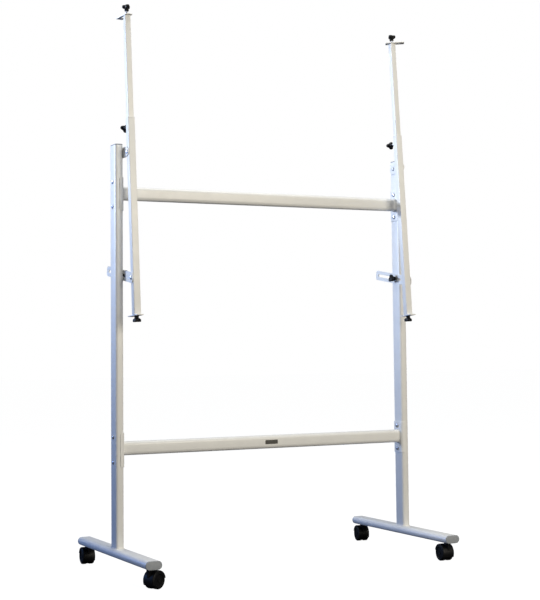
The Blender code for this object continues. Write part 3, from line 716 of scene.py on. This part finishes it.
def build_link(side):
    """Slotted tilt link: rounded nose round the pin, square back end with rounded corners."""
    node = f"tilt_link_{side}"
    low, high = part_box(node)
    pin = joint_place(f"tilt_link_{side}_pivot")[0]
    stud = joint_place(f"tilt_knob_{side}_turn")[0]
    rise = atan2(stud.z - pin.z, stud.y - pin.y)
    half = LINK_HEIGHT / 2
    outline = [(-LINK_NOSE * cos(a), -half * sin(a)) for a in [radians(90 * i / 12) for i in range(13)]]
    outline += arc((LINK_LENGTH - LINK_CORNER, -half + LINK_CORNER), LINK_CORNER, -90, 0, 8)
    outline += [(y, -z) for y, z in reversed(outline[1:])]
    width, start, end = LINK_SLOT
    slot = shifted(rounded_rect(end - start, width, width / 2 - 1e-5, 10), (start + end) / 2, 0)
    along = Vector((0, cos(rise), sin(rise)))
    matrix = axes_frame((low.x, pin.y, pin.z), X_AXIS, along)
    bm = plate(outline, [circle(BOLT_R + GAP, 24), slot], 0, high.x - low.x)
    add_piece(f"{node}_plate", bm, matrix, node, "white_paint", [node], bevel=PLATE_EDGE)


def build_jaw(side, level, up, matrix):
    """Slotted clamp plate at one end of the holder; up is -1 for the bottom one."""
    node = f"jaw_{level}_{side}"
    turn, shift = JAW_POSE[side, level]
    place = joint_place(f"{node}_swivel")[0]
    local = Matrix.Translation(place) @ matrix.to_3x3().to_4x4() @ turned(turn, "Z")
    if up < 0:
        local = local @ turned(180, "X")
    outline = shifted(rounded_rect(JAW_WIDTH, JAW_LENGTH, JAW_CORNER), 0, up * shift)
    width, length = JAW_SLOT
    slot = shifted(rounded_rect(width, length, width / 2 - 1e-5, 10), 0, up * shift)
    bm = plate(outline, [slot], GAP, GAP + JAW_T)
    add_piece(f"{node}_plate", bm, local, node, "white_paint", [node], bevel=SOFT_EDGE)


# ---- knobs ----
def knob_section(radius, lobe, z, steps=72):
    angles = [2 * pi * i / steps for i in range(steps)]
    reaches = [radius + lobe * cos(3 * a) for a in angles]
    return [(r * cos(a), r * sin(a), z) for r, a in zip(reaches, angles)]


def knob_head(stud):
    """Moulded knob above its stud: round neck, flared three-lobed grip and a dished top."""
    neck = [(0.6, 0, 0), (0.94, 0, 0), (1.0, 0, 0.0006), (1.0, 0, 0.0045), (0.97, 0, 0.0060),
            (0.97, 0.05, KNOB_NECK - 0.0010), (1.03, 0.15, KNOB_NECK)]
    grip = [(0.76, 0.35, 0.0011), (0.86, 0.60, 0.0024), (0.95, 0.85, 0.0039), (0.985, 0.97, 0.0048),
            (1, 1, 0.0058), (1, 1, KNOB_HEAD - 0.0018), (0.985, 0.99, KNOB_HEAD - 0.0008),
            (0.94, 0.96, KNOB_HEAD - 0.0002), (0.88, 0.90, KNOB_HEAD), (0.80, 0.80, KNOB_HEAD - 0.0003),
            (0.70, 0.6, KNOB_HEAD - 0.0010), (0.50, 0.3, KNOB_HEAD - 0.0014),
            (0.30, 0.1, KNOB_HEAD - 0.0015)]
    rings = []
    for steps, radius, start in ((neck, KNOB_NECK_R, stud), (grip, KNOB_HEAD_R, stud + KNOB_NECK)):
        rings += [knob_section(radius * scale, KNOB_LOBE * lobe, start + z) for scale, lobe, z in steps]
    return loft(rings)


def build_knob(node):
    """Knob and its screw in place of one CAD node, on that node's own joint, lobes turned the same way."""
    place, axis = joint_place(f"{node}_turn")
    points = [vertex.co - place for vertex in NODES[node].data.vertices]
    if abs(min(p.dot(axis) for p in points)) > max(p.dot(axis) for p in points):
        axis = -axis
    lobe = max(points, key=lambda p: (p - axis * p.dot(axis)).length)
    matrix = axes_frame(place, axis, lobe)
    stud = max(p.dot(axis) for p in points) - KNOB_NECK - KNOB_HEAD
    add_piece(f"{node}_grip", knob_head(stud), matrix, node, "black_plastic", [node])
    add_piece(f"{node}_screw", threaded_rod(STUD_R, 0, stud + 0.001), matrix, node, "zinc", [node])


# ---- casters ----
def caster_frame(corner):
    place = joint_place(f"caster_{corner}_swivel")[0]
    axle = joint_place(f"wheels_{corner}_spin")[1]
    return Matrix.Translation(place) @ Matrix.Rotation(atan2(axle.y, axle.x), 4, "Z")


def across_x(matrix):
    """Frame whose local X, Y, Z are the caster's Y, Z, X, for outlines seen from its side."""
    return matrix @ Matrix(((0, 0, 1, 0), (1, 0, 0, 0), (0, 1, 0, 0), (0, 0, 0, 1)))


def build_caster(corner):
    matrix = caster_frame(corner)
    side_view = across_x(matrix)
    build_hood(corner, matrix, side_view)
    build_wheels(corner, side_view)
    if corner.startswith("front"):
        build_brake(corner, matrix)


def build_hood(corner, matrix, side_view):
    """Fender over both wheels, web between them, collar and zinc stem."""
    hood, body = f"caster_hood_{corner}", f"caster_{corner}"
    add_piece(f"{hood}_fender", fender(), side_view, body, "black_plastic", [hood], bevel=SOFT_EDGE)
    web = plate(web_outline(), [], -WEB_HALF, WEB_HALF)
    add_piece(f"{hood}_web", web, side_view, body, "black_plastic", [hood], bevel=SOFT_EDGE)
    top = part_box("foot_left")[0].z - GAP
    groove = COLLAR_R - COLLAR_GROOVE
    profile = [(COLLAR_R, COLLAR_BOTTOM), (COLLAR_R, 0.0630), (groove, 0.0634), (groove, 0.0642),
               (COLLAR_R, 0.0646), (COLLAR_R, 0.0675), (COLLAR_R - 0.0008, 0.0683), (COLLAR_R - 0.0015, top)]
    add_piece(f"{hood}_collar", turned_solid(profile), matrix, body, "black_plastic", [hood])
    stem_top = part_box(hood)[1].z
    profile = [(STEM_R, STEM_BOTTOM), (STEM_R, stem_top - STEM_TIP), (STUD_R, stem_top)]
    add_piece(f"{hood}_stem", turned_solid(profile), matrix, body, "zinc", [hood])


def web_outline():
    """Web seen from the side: under the fender, up into the column and round inside the wheels."""
    centre = (TRAIL, WHEEL_R)
    reach = (FENDER_IN + FENDER_OUT) / 2
    web = arc(centre, reach, -8, 100, 28)
    web += [(COLUMN_HALF, COLUMN_TOP), (-COLUMN_HALF, COLUMN_TOP), (-COLUMN_HALF, COLUMN_FOOT)]
    web += arc(centre, reach, 168, 200, 8) + arc(centre, WEB_R, 210, 345, 30)
    return web


def fender():
    """Hood over both wheels, with rounded shoulders; local Z runs across the wheels."""
    start, finish = FENDER_ARC
    rings = []
    sides = [radians(90 * i / 5) for i in range(6)]
    steps = [(WHEEL_OUT - SHOULDER * (1 - sin(a)), SHOULDER_DROP * (1 - cos(a))) for a in sides]
    for across, drop in [(-x, d) for x, d in reversed(steps)] + steps:
        outline = arc((TRAIL, WHEEL_R), FENDER_OUT - drop, start, finish, 48)
        outline += arc((TRAIL, WHEEL_R), FENDER_IN - drop, finish, start, 48)
        rings.append(at_z(outline, across))
    return loft(rings)


def build_wheels(corner, side_view):
    node = f"caster_wheels_{corner}"
    body = f"wheels_{corner}"
    place = side_view @ Matrix.Translation((TRAIL, WHEEL_R, 0))
    profile = [(0.0030, WHEEL_OUT - 0.0022), (0.0048, WHEEL_OUT - 0.0010), (0.0066, WHEEL_OUT - 0.0012),
               (0.0072, WHEEL_OUT - 0.0030), (0.0188, WHEEL_OUT - 0.0034), (0.0205, WHEEL_OUT - 0.0016),
               (0.0214, WHEEL_OUT - 0.0004), (0.0232, WHEEL_OUT), (0.0258, WHEEL_OUT - 0.0003),
               (0.0276, WHEEL_OUT - 0.0012), (0.0291, WHEEL_OUT - 0.0026), (WHEEL_R, WHEEL_OUT - 0.0045),
               (WHEEL_R, WHEEL_IN + 0.0030), (0.0296, WHEEL_IN + 0.0014), (0.0288, WHEEL_IN + 0.0005),
               (0.0272, WHEEL_IN), (0.0040, WHEEL_IN)]
    whole = profile + [(r, -z) for r, z in reversed(profile)]
    add_piece(f"{node}_pair", turned_solid(whole, 72), place, body, "black_rubber", [node])


def build_brake(corner, matrix):
    """Pedal with a round hub and a ribbed tread, seen from the caster's side."""
    node, body = f"brake_pedal_{corner}", f"brake_{corner}"
    hinge = matrix.inverted() @ joint_place(f"brake_{corner}_press")[0]
    place = across_x(matrix) @ Matrix.Translation((hinge.y, hinge.z, 0))
    slope = radians(BRAKE_SLOPE)
    half = BRAKE_T / 2
    tip = BRAKE_LENGTH + BRAKE_TIP
    tread = [(BRAKE_LENGTH, -half), (tip, -half * 0.4), (tip, half * 0.4), (BRAKE_LENGTH, half)]
    for i in range(BRAKE_RIBS):
        start = BRAKE_LENGTH - RIB_START - i * RIB_PITCH
        tread += [(start, half), (start - 0.0003, half - RIB_DEPTH), (start - 0.0009, half - RIB_DEPTH),
                  (start - 0.0012, half)]
    outline = arc((0, 0), BRAKE_HUB_R, 60 + BRAKE_SLOPE, 300 + BRAKE_SLOPE, 16)
    outline += [(r * cos(slope) - h * sin(slope), r * sin(slope) + h * cos(slope)) for r, h in tread]
    bm = plate(outline, [], -BRAKE_HALF_WIDTH, BRAKE_HALF_WIDTH)
    add_piece(f"{node}_moulded", bm, place, body, "black_plastic", [node], bevel=BRAKE_EDGE)


# ---- stage ----
def camera_ray_mix(tree, unseen, seen, target):
    """Surface that the camera sees one way and every other ray another way."""
    choice = tree.nodes.new("ShaderNodeMixShader")
    camera_ray = tree.nodes.new("ShaderNodeLightPath").outputs["Is Camera Ray"]
    tree.links.new(camera_ray, choice.inputs[0])
    tree.links.new(unseen.outputs[0], choice.inputs[1])
    tree.links.new(seen.outputs[0], choice.inputs[2])
    tree.links.new(choice.outputs[0], target.inputs["Surface"])


def diffuse(tree, color):
    shader = tree.nodes.new("ShaderNodeBsdfDiffuse")
    shader.inputs["Color"].default_value = (*color, 1)
    return shader


def build_floor():
    """Plain white floor that shades only faintly and throws little light back up."""
    bpy.ops.mesh.primitive_plane_add(size=60, location=(0, 0, 0))
    floor = bpy.context.object
    floor.name = "floor"
    material = bpy.data.materials.new("pale_floor")
    material.use_nodes = True
    tree = material.node_tree
    glow = tree.nodes.new("ShaderNodeEmission")
    glow.inputs["Strength"].default_value = 0.965
    pale = tree.nodes.new("ShaderNodeAddShader")
    tree.links.new(glow.outputs[0], pale.inputs[0])
    tree.links.new(diffuse(tree, (0.14, 0.14, 0.14)).outputs[0], pale.inputs[1])
    dull = diffuse(tree, (0.09, 0.09, 0.095))
    camera_ray_mix(tree, dull, pale, tree.nodes["Material Output"])
    floor.data.materials.append(material)


def build_world():
    world = bpy.data.worlds.new("studio")
    bpy.context.scene.world = world
    world.use_nodes = True
    tree = world.node_tree
    backdrop, ambient = tree.nodes["Background"], tree.nodes.new("ShaderNodeBackground")
    backdrop.inputs["Color"].default_value = (1, 1, 1, 1)
    ambient.inputs["Color"].default_value = (0.93, 0.96, 1.0, 1)
    ambient.inputs["Strength"].default_value = 0.22
    camera_ray_mix(tree, ambient, backdrop, tree.nodes["World Output"])


def aimed(data, place, target):
    """Put a light in the scene, pointing at target."""
    light = bpy.data.objects.new(data.name, data)
    light.location = place
    light.rotation_euler = (Vector(target) - Vector(place)).to_track_quat("-Z", "Y").to_euler()
    bpy.context.scene.collection.objects.link(light)


def area_light(name, place, target, size, watts, color):
    data = bpy.data.lights.new(name, "AREA")
    data.shape = "RECTANGLE"
    data.size, data.size_y = size
    data.energy, data.color = watts, color
    aimed(data, place, target)


def spot_light(name, place, target, cone, watts, color, radius):
    data = bpy.data.lights.new(name, "SPOT")
    data.spot_size, data.spot_blend = radians(cone), 1.0
    data.energy, data.color, data.shadow_soft_size = watts, color, radius
    aimed(data, place, target)


def build_lights():
    spot_light("key", place=(-4.8, 3.8, 2.6), target=(0, 0, 2.92), cone=56, watts=1750,
               color=(0.83, 0.90, 0.97), radius=0.35)
    area_light("sky", place=(-4.2, 3.0, 1.8), target=(0, 0, 1.2), size=(3.0, 2.0), watts=95,
               color=(0.06, 0.30, 1.0))
    area_light("front_fill", place=(0.8, -5.3, 2.3), target=(0, 0, 1.2), size=(3.0, 2.4), watts=203,
               color=(1.0, 0.925, 0.775))
    area_light("overhead", place=(0, 0.2, 4.2), target=(0, 0, 1.0), size=(3.0, 1.6), watts=78,
               color=(0.94, 0.97, 1.0))


def build_camera():
    data = bpy.data.cameras.new("camera")
    camera = bpy.data.objects.new("camera", data)
    bpy.context.scene.collection.objects.link(camera)
    yaw, pitch, roll = radians(CAMERA_YAW), radians(CAMERA_PITCH), radians(CAMERA_ROLL)
    forward = Vector((sin(yaw) * cos(pitch), cos(yaw) * cos(pitch), sin(pitch)))
    right = Vector((cos(yaw), -sin(yaw), 0))
    up = right.cross(forward)
    right, up = cos(roll) * right + sin(roll) * up, cos(roll) * up - sin(roll) * right
    matrix = Matrix((right, up, -forward)).transposed().to_4x4()
    matrix.translation = CAMERA_PLACE
    camera.matrix_world = matrix
    data.sensor_width, data.lens = CAMERA_SENSOR, CAMERA_LENS
    data.shift_x, data.shift_y = CAMERA_SHIFT
    bpy.context.scene.camera = camera
    bpy.context.scene.view_settings.view_transform = "Standard"


def main():
    for side, sign in SIDES.items():
        build_foot(side)
        build_upright(side)
        build_bolts(side, sign)
        build_pivot(side, sign)
        build_pin(f"pivot_pin_{side}", f"holder_{side}_tilt", side, sign)
        build_pin(f"link_pin_{side}", f"tilt_link_{side}_pivot", side, sign)
        build_holder(side)
        build_extension(side)
        build_link(side)
        for level, up in LEVELS.items():
            build_jaw(side, level, up, holder_frame(side))
            build_knob(f"jaw_knob_{level}_{side}")
        build_knob(f"lock_knob_{side}")
        build_knob(f"tilt_knob_{side}")
        for level in BARS:
            build_saddle(level, side, sign)
        for end in ("front", "back"):
            build_caster(f"{end}_{side}")
    for level in BARS:
        build_crossbar(level)
    build_label()
    build_floor()
    build_world()
    build_lights()
    build_camera()


main()
